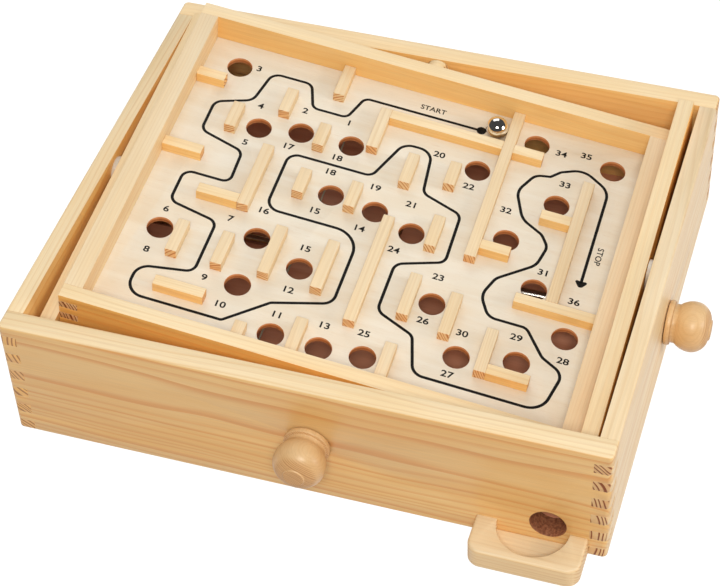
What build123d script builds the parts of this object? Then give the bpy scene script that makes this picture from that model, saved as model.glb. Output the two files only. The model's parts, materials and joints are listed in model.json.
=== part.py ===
from build123d import *
import math
import os

# A tilt maze game, in millimetres. +X runs along the front wall to the right,
# +Y towards the back wall and +Z up. The origin is on the underside, in the middle of the casing.
# The two frames stand tilted, as they are left when both knobs have been turned.

# Casing: four box-jointed walls round an open top.
CASE_WIDTH = 350.0
CASE_DEPTH = 296.0
CASE_HEIGHT = 86.0
SIDE_WALL = 10.3
END_WALL = 13.0
CASE_FINGERS = 12
CASE_CORNER_ROUNDING = 3.0
CASE_TOP_ROUNDING = 1.4
CASE_FOOT_ROUNDING = 1.0
HALF_WIDTH = CASE_WIDTH / 2
HALF_DEPTH = CASE_DEPTH / 2
INNER_X = HALF_WIDTH - SIDE_WALL
INNER_Y = HALF_DEPTH - END_WALL

# How far the frames are tilted: the ring about X, the tray about the ring's own Y.
RING_TILT = 4.5
TRAY_TILT = 7.5
PIVOT_HEIGHT = 72.5
RING_PLACE = Pos(0, 0, PIVOT_HEIGHT) * Rot(RING_TILT, 0, 0)
TRAY_PLACE = RING_PLACE * Rot(0, TRAY_TILT, 0)

# Ring, the middle frame, measured from the crossing of the two pivot axes.
RING_HALF_WIDTH = 161.5
RING_HALF_LENGTH = 132.0
RING_BAR = 9.3
RING_INNER_X = RING_HALF_WIDTH - RING_BAR
RING_TOP = 9.6
RING_BOTTOM = -31.5
CROSS_BAR_NEAR = 124.0
CROSS_BAR_FAR = 131.0
CROSS_BAR_TENON = 4.0
CROSS_END_TOP = -20.0
CROSS_END_BOTTOM = -30.0
PIVOT_HEAD_RADIUS = 7.0
PIVOT_NECK_X = 11.5
PIVOT_NECK_Z = -4.5
ARCH_HALF_WIDTH = 14.0
ARCH_TOP = -13.0
ARCH_FOOT_X = 42.0

# Tray, the inner frame that carries the maze, measured from the same crossing.
TRAY_HALF_WIDTH = 150.0
TRAY_HALF_DEPTH = 121.5
SIDE_RAIL = 11.0
END_RAIL = 9.0
TRAY_INNER_X = TRAY_HALF_WIDTH - SIDE_RAIL
TRAY_INNER_Y = TRAY_HALF_DEPTH - END_RAIL
TRAY_TOP = 12.0
TRAY_BOTTOM = -13.5
TRAY_FINGERS = 5
BOARD_TOP = -6.4
BOARD_THICKNESS = 4.0
BOARD_GROOVE = 3.0
HOLE_RADIUS = 7.8
STRIP = 7.0

# Steel ball.
BALL_RADIUS = 7.0
BALL_LANE_GAP = 1.45
SLIVER = 0.05

# Pivots: a steel pin and a white washer at each of the four bearings.
PIN_RADIUS = 2.0
PIN_INTO_WALL = 8.0
PIN_INTO_FRAME = 7.0
RUNNING_CLEARANCE = 0.05
RING_WASHER_RADIUS = 9.0
RING_WASHER_THICKNESS = 2.8
TRAY_WASHER_RADIUS = 5.0
TRAY_WASHER_THICKNESS = 2.0

# Control shafts and what is on them.
SHAFT_RADIUS = 3.0
FRONT_SHAFT_X = 5.0
FRONT_SHAFT_Z = 44.0
RIGHT_SHAFT_Y = 2.5
RIGHT_SHAFT_Z = 34.0
SHAFT_INTO_WALL = 8.0
SHAFT_END_GAP = 0.5
COLLAR_RADIUS = 5.0
COLLAR_WIDTH = 3.5
COLLAR_GAP = 0.4

# Turned knob, measured along its axis from the flange's back face.
KNOB_GAP = 0.6
FLANGE_RADIUS = 13.4
FLANGE_THICKNESS = 3.2
FLANGE_RIM = 0.8
NECK_RADIUS = 11.6
NECK_START = 3.7
NECK_END = 6.0
BULB_RADIUS = 15.0
BULB_MIDDLE = 15.0
TIP_RADIUS = 6.2
KNOB_LENGTH = 25.8
KNOB_BORE_DEPTH = 18.0

# Strings: one goes round each shaft and pulls both ends of its frame.
STRING_RADIUS = 0.6
STRING_GAP = 0.2
COIL_WIDTH = 3.6
TRAY_STRING_Y = -10.0
RING_STRING_X = -50.0
SPRING_RADIUS = 2.2
SPRING_LENGTH = 16.0
SCREW_RADIUS = 1.4
SCREW_HEAD_RADIUS = 3.0
SCREW_HEAD_HEIGHT = 1.6
SCREW_HEAD_ROUNDING = 1.2
SCREW_OUT = 5.0
SCREW_IN = 10.0

# Ball return: a sloping floor, the way out through the front wall and the tray outside it.
FLOOR_THICKNESS = 3.0
FLOOR_LOW_Z = 8.0
FLOOR_RISE_X = 0.015
FLOOR_RISE_Y = 0.025
BATTEN_WIDTH = 10.0
GUIDE_WIDTH = 10.5
GUIDE_LENGTH = 26.0
GUIDE_HEIGHT = 25.0
EXIT_X = 141.5
EXIT_Z = 18.7
EXIT_RADIUS = 10.3
CATCH_LEFT = 101.0
CATCH_RIGHT = 164.5
CATCH_DEPTH = 25.0
CATCH_HEIGHT = 14.0
CATCH_CORNER = 8.0
CATCH_TOP_ROUNDING = 1.8
CATCH_FOOT_ROUNDING = 1.2
POCKET_X = 133.5
POCKET_RADIUS = 20.5
POCKET_FLOOR = 4.5

# Centres of the holes in the maze board.
HOLES = [
    (-117.5, 93.0), (-90.2, 49.8), (-64.8, 55.1), (-33.0, 55.9), (-32.8, 14.6), (-4.4, 11.6),
    (20.7, 3.4), (44.8, 64.0), (74.0, 96.6), (123.0, 92.6), (97.0, 54.3), (75.0, 18.0),
    (-119.3, -43.3), (-63.5, -31.5), (-33.2, -44.2), (-63.0, -67.4), (-34.0, -94.2), (-5.5, -94.2),
    (19.8, -91.6), (46.5, -42.2), (69.8, -73.5), (103.2, -65.7), (125.2, -40.0), (99.8, -12.0),
]


def upright(centre_x, front, back):
    """Left, right, front and back of a strip that runs from front to back."""
    return centre_x - STRIP / 2, centre_x + STRIP / 2, front, back


def crosswise(left, right, front):
    """Left, right, front and back of a strip that runs from left to right."""
    return left, right, front, front + STRIP


START_WALL_FRONT = 80.0
START_WALL_BACK = START_WALL_FRONT + STRIP
LONG_WALL_X = 58.4

# Feet of the strips glued on the board, by node.
STRIPS = {
    "maze_wall_back_stub": [upright(-51.5, 87.5, TRAY_INNER_Y)],
    "maze_wall_start_end": [upright(-20.0, 54.0, START_WALL_BACK)],
    "maze_wall_start": [crosswise(-16.5, LONG_WALL_X - STRIP / 2, START_WALL_FRONT)],
    "maze_wall_long_back": [upright(LONG_WALL_X, -6.0, TRAY_INNER_Y)],
    "maze_wall_long_middle": [upright(5.7, -74.5, 6.5)],
    "maze_wall_left_corner": [upright(-78.5, -15.3, 34.0)],
    "maze_wall_left_foot": [crosswise(-107.3, -82.0, -15.3)],
    "maze_wall_left_bar": [crosswise(-107.3, -77.0, -88.0)],
    "maze_wall_right_corner": [upright(85.2, -83.3, -52.0)],
    "maze_wall_right_foot": [crosswise(88.7, 113.5, -83.3)],
    "maze_wall_finish": [upright(112.0, -22.2, 73.0)],
    "maze_wall_finish_foot": [crosswise(90.8, TRAY_INNER_X, -29.2)],
    "maze_walls_left_rail": [
        crosswise(-TRAY_INNER_X, -121.0, 72.8),
        crosswise(-TRAY_INNER_X, -114.5, 12.5),
    ],
    "maze_walls_front_rail": [
        upright(-51.0, -TRAY_INNER_Y, -95.5),
        upright(-19.2, -TRAY_INNER_Y, -81.5),
        upright(33.4, -TRAY_INNER_Y, -81.0),
    ],
    "maze_walls_stubs": [
        crosswise(LONG_WALL_X + STRIP / 2, 80.5, 79.5),
        crosswise(LONG_WALL_X + STRIP / 2, 80.0, 1.7),
        crosswise(90.0, 108.5, 36.0),
    ],
    "maze_walls_short": [
        upright(-78.8, 62.5, 82.0),
        upright(-106.0, 40.0, 60.0),
        upright(-51.3, 44.0, 62.0),
        upright(-51.3, 5.0, 24.0),
        upright(-19.4, 5.0, 25.0),
        upright(32.0, 42.0, 60.5),
    ],
    "maze_walls_medium": [
        upright(6.2, 34.0, 58.0),
        upright(34.0, -6.7, 17.0),
        upright(-106.0, -62.0, -38.0),
        upright(-78.5, -62.0, -37.5),
    ],
    "maze_walls_tall": [
        upright(-51.0, -59.0, -22.5),
        upright(-19.1, -59.0, -22.5),
        upright(33.0, -60.0, -29.0),
        upright(59.1, -65.0, -34.5),
    ],
}


def block(left, right, front, back, bottom, top):
    centre = Pos((left + right) / 2, (front + back) / 2, (bottom + top) / 2)
    return centre * Box(right - left, back - front, top - bottom)


def rod(start, end, radius):
    """A round bar between two points."""
    start = Vector(start)
    run = Vector(end) - start
    return extrude(Plane(start, z_dir=run) * Circle(radius), run.length)


def tube(start, end, radius, bore):
    return rod(start, end, radius) - rod(start, end, bore)


def finger_heights(bottom, top, count, first):
    """Bottom and top of every second finger, counted down from the top edge."""
    pitch = (top - bottom) / count
    return [(top - (k + 1) * pitch, top - k * pitch) for k in range(first, count, 2)]


def gather(solids):
    return Compound(children=[solid.solid() for solid in solids])


def end_board(half_width, inner_x, outer_y, inner_y, bottom, top, fingers):
    """A frame's front board, notched at both ends for the side boards' fingers."""
    board = block(-half_width, half_width, -outer_y, -inner_y, bottom, top)
    for low, high in finger_heights(bottom, top, fingers, 1):
        board -= block(-half_width, -inner_x, -outer_y, -inner_y, low, high)
        board -= block(inner_x, half_width, -outer_y, -inner_y, low, high)
    return board


def side_board(half_width, inner_x, outer_y, inner_y, bottom, top, fingers):
    """A frame's right-hand board, notched at both ends for the end boards' fingers."""
    board = block(inner_x, half_width, -outer_y, outer_y, bottom, top)
    for low, high in finger_heights(bottom, top, fingers, 0):
        board -= block(inner_x, half_width, -outer_y, -inner_y, low, high)
        board -= block(inner_x, half_width, inner_y, outer_y, low, high)
    return board


def casing():
    """The four walls, with the shafts' bearings, the pivot pins' holes and the ball's way out."""
    sizes = (HALF_WIDTH, INNER_X, HALF_DEPTH, INNER_Y, 0, CASE_HEIGHT, CASE_FINGERS)
    envelope = block(-HALF_WIDTH, HALF_WIDTH, -HALF_DEPTH, HALF_DEPTH, 0, CASE_HEIGHT)
    envelope = fillet(envelope.edges().filter_by(Axis.Z), CASE_CORNER_ROUNDING)
    envelope = fillet(envelope.edges().group_by(Axis.Z)[-1], CASE_TOP_ROUNDING)
    envelope = fillet(envelope.edges().group_by(Axis.Z)[0], CASE_FOOT_ROUNDING)
    front = end_board(*sizes) & envelope
    right = side_board(*sizes) & envelope
    back = mirror(front, about=Plane.XZ)
    left = mirror(right, about=Plane.YZ)

    bearing = SHAFT_RADIUS + RUNNING_CLEARANCE
    shaft_x, shaft_y = FRONT_SHAFT_X, RIGHT_SHAFT_Y
    far_x = INNER_X + SHAFT_INTO_WALL
    far_y = INNER_Y + SHAFT_INTO_WALL
    pin_end = INNER_X + PIN_INTO_WALL
    front -= rod((shaft_x, -HALF_DEPTH, FRONT_SHAFT_Z), (shaft_x, -INNER_Y, FRONT_SHAFT_Z), bearing)
    front -= rod((EXIT_X, -HALF_DEPTH, EXIT_Z), (EXIT_X, -INNER_Y, EXIT_Z), EXIT_RADIUS)
    back -= rod((shaft_x, INNER_Y, FRONT_SHAFT_Z), (shaft_x, far_y, FRONT_SHAFT_Z), bearing)
    right -= rod((INNER_X, shaft_y, RIGHT_SHAFT_Z), (HALF_WIDTH, shaft_y, RIGHT_SHAFT_Z), bearing)
    right -= rod((INNER_X, 0, PIVOT_HEIGHT), (pin_end, 0, PIVOT_HEIGHT), PIN_RADIUS)
    left -= rod((-INNER_X, shaft_y, RIGHT_SHAFT_Z), (-far_x, shaft_y, RIGHT_SHAFT_Z), bearing)
    left -= rod((-INNER_X, 0, PIVOT_HEIGHT), (-pin_end, 0, PIVOT_HEIGHT), PIN_RADIUS)
    return {"case_front": front, "case_back": back, "case_right": right, "case_left": left}


def below_floor(drop):
    """The casing's inside below the floor's upper face, less a drop. It is lowest at the front right."""
    corner = (INNER_X, -INNER_Y, FLOOR_LOW_Z - drop)
    face = Plane(corner, x_dir=(1, 0, -FLOOR_RISE_X), z_dir=(FLOOR_RISE_X, -FLOOR_RISE_Y, 1))
    reach = 2 * CASE_WIDTH
    inside = block(-INNER_X, INNER_X, -INNER_Y, INNER_Y, 0, CASE_HEIGHT / 2)
    return inside - extrude(face * Rectangle(2 * reach, 2 * reach), reach)


def ball_return():
    floor = below_floor(0) - below_floor(FLOOR_THICKNESS)
    beneath = below_floor(FLOOR_THICKNESS)
    half_batten = BATTEN_WIDTH / 2
    end_batten = INNER_Y - half_batten
    battens = []
    for middle in (-end_batten, 0, end_batten):
        bar = block(-INNER_X, INNER_X, middle - half_batten, middle + half_batten, 0, CASE_HEIGHT)
        battens.append(beneath & bar)
    corner = (INNER_X, -INNER_Y)
    foot = Polyline(corner, (INNER_X - GUIDE_WIDTH, -INNER_Y), (INNER_X, -INNER_Y + GUIDE_LENGTH), close=True)
    guide = extrude(make_face(foot), GUIDE_HEIGHT) - below_floor(0)
    return {"ball_floor": floor, "floor_battens": gather(battens), "ball_guide": guide}


def catch_tray():
    front = -HALF_DEPTH - CATCH_DEPTH
    tray = block(CATCH_LEFT, CATCH_RIGHT, front, -HALF_DEPTH, 0, CATCH_HEIGHT)
    tray = fillet(tray.edges().filter_by(Axis.Z).group_by(Axis.Y)[0], CATCH_CORNER)
    for level, rounding in ((-1, CATCH_TOP_ROUNDING), (0, CATCH_FOOT_ROUNDING)):
        rim = tray.edges().group_by(Axis.Z)[level]
        tray = fillet([edge for edge in rim if edge.center().Y < -HALF_DEPTH - 1], rounding)
    pocket = Cylinder(POCKET_RADIUS, CATCH_HEIGHT)
    return tray - Pos(POCKET_X, -HALF_DEPTH, POCKET_FLOOR + CATCH_HEIGHT / 2) * pocket


def ring_side_bar():
    """The right-hand bar, level, with a mortise for each cross bar and the hole for its pivot pin."""
    bar = block(RING_INNER_X, RING_HALF_WIDTH, -RING_HALF_LENGTH, RING_HALF_LENGTH, RING_BOTTOM, RING_TOP)
    mortise_end = RING_INNER_X + CROSS_BAR_TENON
    for near, far in ((CROSS_BAR_NEAR, CROSS_BAR_FAR), (-CROSS_BAR_FAR, -CROSS_BAR_NEAR)):
        bar -= block(RING_INNER_X, mortise_end, near, far, CROSS_END_BOTTOM, CROSS_END_TOP)
    return bar - rod((RING_INNER_X, 0, 0), (RING_HALF_WIDTH, 0, 0), PIN_RADIUS + RUNNING_CLEARANCE)


def ring_cross_bar():
    """The front bar, level: low at its ends, arched over the shaft, raised to carry the tray's pivot."""
    tenon_end = RING_INNER_X + CROSS_BAR_TENON
    right_side = [
        (PIVOT_HEAD_RADIUS, 0), (PIVOT_NECK_X, PIVOT_NECK_Z), (RING_INNER_X, CROSS_END_TOP),
        (tenon_end, CROSS_END_TOP), (tenon_end, CROSS_END_BOTTOM), (ARCH_FOOT_X, CROSS_END_BOTTOM),
        (ARCH_HALF_WIDTH, ARCH_TOP),
    ]
    left_side = [(-x, z) for x, z in reversed(right_side)]
    outline = Polyline(right_side + left_side)
    outline += ThreePointArc((-PIVOT_HEAD_RADIUS, 0), (0, PIVOT_HEAD_RADIUS), (PIVOT_HEAD_RADIUS, 0))
    face = Plane.XZ.offset(CROSS_BAR_NEAR) * make_face(outline)
    bar = extrude(face, CROSS_BAR_FAR - CROSS_BAR_NEAR)
    bar -= rod((0, -CROSS_BAR_NEAR, 0), (0, -CROSS_BAR_FAR, 0), PIN_RADIUS)
    middle = -(CROSS_BAR_NEAR + CROSS_BAR_FAR) / 2
    return bar - screw_hole(RING_STRING_X, middle, CROSS_END_BOTTOM)


def ring():
    right = ring_side_bar()
    front = ring_cross_bar()
    return {
        "ring_right_bar": RING_PLACE * right,
        "ring_left_bar": RING_PLACE * mirror(right, about=Plane.YZ),
        "ring_front_bar": RING_PLACE * front,
        "ring_back_bar": RING_PLACE * mirror(front, about=Plane.XZ),
    }


def board_blank():
    reach_x = TRAY_INNER_X + BOARD_GROOVE
    reach_y = TRAY_INNER_Y + BOARD_GROOVE
    return block(-reach_x, reach_x, -reach_y, reach_y, BOARD_TOP - BOARD_THICKNESS, BOARD_TOP)


def tray():
    """The four rails, the board in their groove and the strips glued on it."""
    plan = (TRAY_HALF_WIDTH, TRAY_INNER_X, TRAY_HALF_DEPTH, TRAY_INNER_Y)
    sizes = plan + (TRAY_BOTTOM, TRAY_TOP, TRAY_FINGERS)
    bearing_end = -TRAY_HALF_DEPTH + PIN_INTO_FRAME + SHAFT_END_GAP
    board = board_blank()
    front = end_board(*sizes) - board
    front -= rod((0, -TRAY_HALF_DEPTH, 0), (0, bearing_end, 0), PIN_RADIUS + RUNNING_CLEARANCE)
    right = side_board(*sizes) - board
    right -= screw_hole(TRAY_HALF_WIDTH - SIDE_RAIL / 2, TRAY_STRING_Y, TRAY_BOTTOM)
    for x, y in HOLES:
        board -= rod((x, y, BOARD_TOP), (x, y, BOARD_TOP - BOARD_THICKNESS), HOLE_RADIUS)
    parts = {
        "tray_right_rail": TRAY_PLACE * right,
        "tray_left_rail": TRAY_PLACE * mirror(right, about=Plane.YZ),
        "tray_front_rail": TRAY_PLACE * front,
        "tray_back_rail": TRAY_PLACE * mirror(front, about=Plane.XZ),
        "maze_board": TRAY_PLACE * board,
    }
    for name, feet in STRIPS.items():
        strips = [block(*foot, BOARD_TOP, BOARD_TOP + STRIP) for foot in feet]
        parts[name] = TRAY_PLACE * gather(strips)
    return parts


def ball():
    """The ball at rest against the long strip at the right-hand end of the start lane."""
    x = LONG_WALL_X - STRIP / 2 - BALL_RADIUS - SLIVER
    y = START_WALL_BACK + BALL_RADIUS + BALL_LANE_GAP
    return TRAY_PLACE * Pos(x, y, BOARD_TOP + BALL_RADIUS + SLIVER) * Sphere(BALL_RADIUS)


def pivots():
    """Pins held in the casing's side walls and in the ring's cross bars, each with its washer."""
    ring_pin = rod((INNER_X + PIN_INTO_WALL, 0, 0), (RING_HALF_WIDTH - PIN_INTO_FRAME, 0, 0), PIN_RADIUS)
    washer_face = INNER_X - RING_WASHER_THICKNESS
    ring_washer = tube((INNER_X, 0, 0), (washer_face, 0, 0), RING_WASHER_RADIUS, PIN_RADIUS)
    tray_pin = rod((0, -CROSS_BAR_FAR, 0), (0, -TRAY_HALF_DEPTH + PIN_INTO_FRAME, 0), PIN_RADIUS)
    washer_end = -CROSS_BAR_NEAR + TRAY_WASHER_THICKNESS
    tray_washer = tube((0, -CROSS_BAR_NEAR, 0), (0, washer_end, 0), TRAY_WASHER_RADIUS, PIN_RADIUS)
    casing_place = Pos(0, 0, PIVOT_HEIGHT)
    return {
        "ring_pin_right": casing_place * ring_pin,
        "ring_pin_left": casing_place * mirror(ring_pin, about=Plane.YZ),
        "ring_washer_right": casing_place * ring_washer,
        "ring_washer_left": casing_place * mirror(ring_washer, about=Plane.YZ),
        "tray_pin_front": RING_PLACE * tray_pin,
        "tray_pin_back": RING_PLACE * mirror(tray_pin, about=Plane.XZ),
        "tray_washer_front": RING_PLACE * tray_washer,
        "tray_washer_back": RING_PLACE * mirror(tray_washer, about=Plane.XZ),
    }


def bulb_arc(radius, height):
    """An arc from the bulb's widest circle to a narrower circle at a given height."""
    inset = BULB_RADIUS - radius
    offset = height - BULB_MIDDLE
    sweep_radius = (inset ** 2 + offset ** 2) / (2 * inset)
    half_turn = math.asin(offset / sweep_radius) / 2
    middle_radius = BULB_RADIUS - sweep_radius * (1 - math.cos(half_turn))
    middle_height = BULB_MIDDLE + sweep_radius * math.sin(half_turn)
    return ThreePointArc((BULB_RADIUS, BULB_MIDDLE), (middle_radius, middle_height), (radius, height))


def knob():
    """A turned knob about +Z, with its flange's back face at Z = 0."""
    flange_flat = FLANGE_RADIUS - FLANGE_RIM
    profile = Polyline((TIP_RADIUS, KNOB_LENGTH), (0, KNOB_LENGTH), (0, 0), (flange_flat, 0))
    profile += ThreePointArc(
        (flange_flat, 0), (FLANGE_RADIUS, FLANGE_THICKNESS / 2), (flange_flat, FLANGE_THICKNESS)
    )
    profile += Polyline((flange_flat, FLANGE_THICKNESS), (NECK_RADIUS, NECK_START), (NECK_RADIUS, NECK_END))
    profile += bulb_arc(NECK_RADIUS, NECK_END)
    profile += bulb_arc(TIP_RADIUS, KNOB_LENGTH)
    body = revolve(Plane.XZ * make_face(profile), Axis.Z)
    return body - rod((0, 0, 0), (0, 0, KNOB_BORE_DEPTH), SHAFT_RADIUS)


def control(place, wall, shaft_end, string_at):
    """A knob, its shaft, the collar behind the wall and the string's turns, along -Z from the flange."""
    collar_start = -KNOB_GAP - wall - COLLAR_GAP
    coil_start = string_at + COIL_WIDTH / 2
    shaft = rod((0, 0, KNOB_BORE_DEPTH), (0, 0, shaft_end), SHAFT_RADIUS)
    collar = tube((0, 0, collar_start), (0, 0, collar_start - COLLAR_WIDTH), COLLAR_RADIUS, SHAFT_RADIUS)
    coil_radius = SHAFT_RADIUS + 2 * STRING_RADIUS
    coil = tube((0, 0, coil_start), (0, 0, coil_start - COIL_WIDTH), coil_radius, SHAFT_RADIUS)
    return [place * piece for piece in (knob(), shaft, collar, coil)]


def controls():
    front_place = Pos(FRONT_SHAFT_X, -HALF_DEPTH - KNOB_GAP, FRONT_SHAFT_Z) * Rot(90, 0, 0)
    right_place = Pos(HALF_WIDTH + KNOB_GAP, RIGHT_SHAFT_Y, RIGHT_SHAFT_Z) * Rot(0, 90, 0)
    front_end = -KNOB_GAP - HALF_DEPTH - INNER_Y - SHAFT_INTO_WALL + SHAFT_END_GAP
    right_end = -KNOB_GAP - HALF_WIDTH - INNER_X - SHAFT_INTO_WALL + SHAFT_END_GAP
    front = control(front_place, END_WALL, front_end, -KNOB_GAP - HALF_DEPTH - TRAY_STRING_Y)
    right = control(right_place, SIDE_WALL, right_end, RING_STRING_X - KNOB_GAP - HALF_WIDTH)
    names = ["front_knob", "front_shaft", "front_collar", "tray_string_coil"]
    names += ["right_knob", "right_shaft", "right_collar", "ring_string_coil"]
    return dict(zip(names, front + right))


def screw_hole(x, y, edge):
    return rod((x, y, edge), (x, y, edge + SCREW_IN), SCREW_RADIUS)


def screw(x, y, edge):
    """A round-headed screw driven up into a frame's bottom edge, with room under it for the string."""
    head_top = edge - SCREW_OUT
    head = rod((x, y, head_top - SCREW_HEAD_HEIGHT), (x, y, head_top), SCREW_HEAD_RADIUS)
    head = fillet(head.edges().group_by(Axis.Z)[0], SCREW_HEAD_ROUNDING)
    return head + rod((x, y, head_top), (x, y, edge + SCREW_IN), SCREW_RADIUS)


def strings():
    """Each string leaves the top of its shaft's coil both ways. A spring keeps it tight at one end."""
    leave_height = SHAFT_RADIUS + STRING_RADIUS
    leave_side = SHAFT_RADIUS + STRING_GAP
    leave_along = COIL_WIDTH / 2 - STRING_RADIUS
    tray_x = TRAY_HALF_WIDTH - SIDE_RAIL / 2
    ring_y = (CROSS_BAR_NEAR + CROSS_BAR_FAR) / 2
    tie = SCREW_OUT / 2
    runs = {}
    for name, spring, side in (("left", "tray_spring", -1), ("right", None, 1)):
        start_x = FRONT_SHAFT_X + side * leave_side
        start_y = TRAY_STRING_Y + side * leave_along
        end = (TRAY_PLACE * Pos(side * tray_x, TRAY_STRING_Y, TRAY_BOTTOM - tie)).position
        runs["tray_string_" + name] = (Vector(start_x, start_y, FRONT_SHAFT_Z + leave_height), end, spring)
    for name, spring, side in (("front", "ring_spring", -1), ("back", None, 1)):
        start_x = RING_STRING_X + side * leave_along
        start_y = RIGHT_SHAFT_Y + side * leave_side
        end = (RING_PLACE * Pos(RING_STRING_X, side * ring_y, CROSS_END_BOTTOM - tie)).position
        runs["ring_string_" + name] = (Vector(start_x, start_y, RIGHT_SHAFT_Z + leave_height), end, spring)

    parts = {}
    for name, (start, tie_point, spring) in runs.items():
        reach = (tie_point - start).normalized()
        end = tie_point - reach * (SCREW_RADIUS + STRING_GAP)
        if spring:
            parts[spring] = rod(end - reach * SPRING_LENGTH, end, SPRING_RADIUS)
            end = end - reach * SPRING_LENGTH
        parts[name] = rod(start, end, STRING_RADIUS)
    parts["tray_string_screws"] = TRAY_PLACE * gather(
        [screw(side * tray_x, TRAY_STRING_Y, TRAY_BOTTOM) for side in (-1, 1)]
    )
    parts["ring_string_screws"] = RING_PLACE * gather(
        [screw(RING_STRING_X, side * ring_y, CROSS_END_BOTTOM) for side in (-1, 1)]
    )
    return parts


def main():
    parts = {"catch_tray": catch_tray(), "ball": ball()}
    for group in (casing, ball_return, ring, tray, pivots, controls, strings):
        parts.update(group())
    os.makedirs("parts", exist_ok=True)
    for name, shape in parts.items():
        export_step(shape, "parts/" + name + ".step")
    print(len(parts), "parts written")


main()
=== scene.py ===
import json
import math

import bmesh
import bpy
import numpy as np
from mathutils import Matrix, Vector


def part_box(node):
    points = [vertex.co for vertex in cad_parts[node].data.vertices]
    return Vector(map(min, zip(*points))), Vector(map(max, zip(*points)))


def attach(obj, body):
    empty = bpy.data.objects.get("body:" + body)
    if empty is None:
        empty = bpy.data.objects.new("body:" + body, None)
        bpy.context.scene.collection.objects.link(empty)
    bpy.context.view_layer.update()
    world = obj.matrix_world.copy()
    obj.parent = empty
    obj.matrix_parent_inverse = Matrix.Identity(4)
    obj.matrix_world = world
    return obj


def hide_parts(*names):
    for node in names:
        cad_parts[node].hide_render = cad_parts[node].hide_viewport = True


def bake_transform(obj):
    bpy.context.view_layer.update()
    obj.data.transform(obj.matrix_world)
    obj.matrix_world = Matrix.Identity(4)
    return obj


MM = 0.001

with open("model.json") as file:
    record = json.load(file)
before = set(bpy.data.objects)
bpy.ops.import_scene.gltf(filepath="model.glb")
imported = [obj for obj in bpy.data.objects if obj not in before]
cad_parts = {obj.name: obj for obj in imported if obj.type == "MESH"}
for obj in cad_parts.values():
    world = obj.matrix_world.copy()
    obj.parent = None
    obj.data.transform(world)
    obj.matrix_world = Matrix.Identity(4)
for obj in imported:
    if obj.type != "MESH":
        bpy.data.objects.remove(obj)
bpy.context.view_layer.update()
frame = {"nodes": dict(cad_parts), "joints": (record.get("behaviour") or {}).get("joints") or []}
NODES = frame["nodes"]
JOINTS = {joint["name"]: joint for joint in frame["joints"]}

# ------------------------------------------------------------- the tilted frames, read from the joints
pivot = Vector(JOINTS["ring_tilt"]["pos_m"])
ring_axis = JOINTS["tray_tilt"]["axis"]
slope_axis = JOINTS["ball_roll"]["axis"]
ring_angle = math.atan2(ring_axis[2], ring_axis[1])
tray_angle = math.acos(min(1.0, slope_axis[0]))
LEVEL = Matrix.Identity(4)
RING = Matrix.Translation(pivot) @ Matrix.Rotation(ring_angle, 4, "X")
TRAY = RING @ Matrix.Rotation(tray_angle, 4, "Y")

# ------------------------------------------------------------- mesh helpers
SAME_POINT = 0.001 * MM  # vertices nearer than this are joined
FLAT_ANGLE = math.radians(0.5)  # faces that meet at less are one face
EDGE_ANGLE = math.radians(35)  # edges sharper than this are eased
END_SHARE = 0.02  # the share of a rod's length that counts as its end


def linked(name, data):
    """A new object in the scene."""
    obj = bpy.data.objects.new(name, data)
    bpy.context.scene.collection.objects.link(obj)
    return obj


def shade(mesh, smooth=True):
    """Shades every face of the mesh smooth, or every face flat."""
    for polygon in mesh.polygons:
        polygon.use_smooth = smooth


def new_object(name, verts, faces, smooth=False):
    """A new object with the given mesh."""
    mesh = bpy.data.meshes.new(name)
    mesh.from_pydata([tuple(v) for v in verts], [], faces)
    mesh.update()
    shade(mesh, smooth)
    return linked(name, mesh)


def softened(node, width, material, body):
    """A piece with the CAD node's shape whose sharp edges are eased, as sandpaper leaves them."""
    mesh = NODES[node].data.copy()
    mesh.materials.clear()
    bm = bmesh.new()
    bm.from_mesh(mesh)
    bmesh.ops.remove_doubles(bm, verts=bm.verts, dist=SAME_POINT)
    bmesh.ops.dissolve_limit(bm, angle_limit=FLAT_ANGLE, verts=bm.verts, edges=bm.edges)
    bm.to_mesh(mesh)
    bm.free()
    shade(mesh)
    obj = linked(node + "_eased", mesh)
    bevel = obj.modifiers.new("eased_edges", "BEVEL")
    bevel.width = width
    bevel.segments = 2
    bevel.limit_method = "ANGLE"
    bevel.angle_limit = EDGE_ANGLE
    bevel.harden_normals = True
    mesh.materials.append(material)
    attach(obj, body)
    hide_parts(node)
    return obj


def node_ends(node):
    """The two ends of a straight round CAD solid's centre line."""
    points = np.array([v.co for v in NODES[node].data.vertices])
    middle = points.mean(axis=0)
    direction = np.linalg.svd(points - middle)[2][0]
    along = (points - middle) @ direction
    reach = along.max() - along.min()
    low = points[along < along.min() + reach * END_SHARE].mean(axis=0)
    high = points[along > along.max() - reach * END_SHARE].mean(axis=0)
    return Vector(low), Vector(high)


def frames_along(path):
    """Two unit vectors square to the path at each of its points, turning as little as possible."""
    tangents = np.gradient(path, axis=0)
    tangents /= np.linalg.norm(tangents, axis=1, keepdims=True)
    side = np.cross(tangents[0], (0.0, 0.0, 1.0))
    if np.linalg.norm(side) < 1e-3:
        side = np.cross(tangents[0], (0.0, 1.0, 0.0))
    sides = []
    for tangent in tangents:
        side = side - tangent * (side @ tangent)
        side = side / np.linalg.norm(side)
        sides.append(side)
    sides = np.array(sides)
    return sides, np.cross(tangents, sides)


def tube(path, radius, around):
    """Vertices and faces of a round tube along a path, closed at both ends."""
    path = np.asarray(path, float)
    u, v = frames_along(path)
    angles = np.linspace(0, 2 * math.pi, around, endpoint=False)
    verts = []
    for point, a, b in zip(path, u, v):
        verts += [point + radius * (math.cos(t) * a + math.sin(t) * b) for t in angles]
    faces = []
    for i in range(len(path) - 1):
        near = i * around
        far = near + around
        for k in range(around):
            n = (k + 1) % around
            faces.append((near + k, near + n, far + n, far + k))
    last = (len(path) - 1) * around
    faces.append(tuple(reversed(range(around))))
    faces.append(tuple(range(last, last + around)))
    return verts, faces


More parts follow.
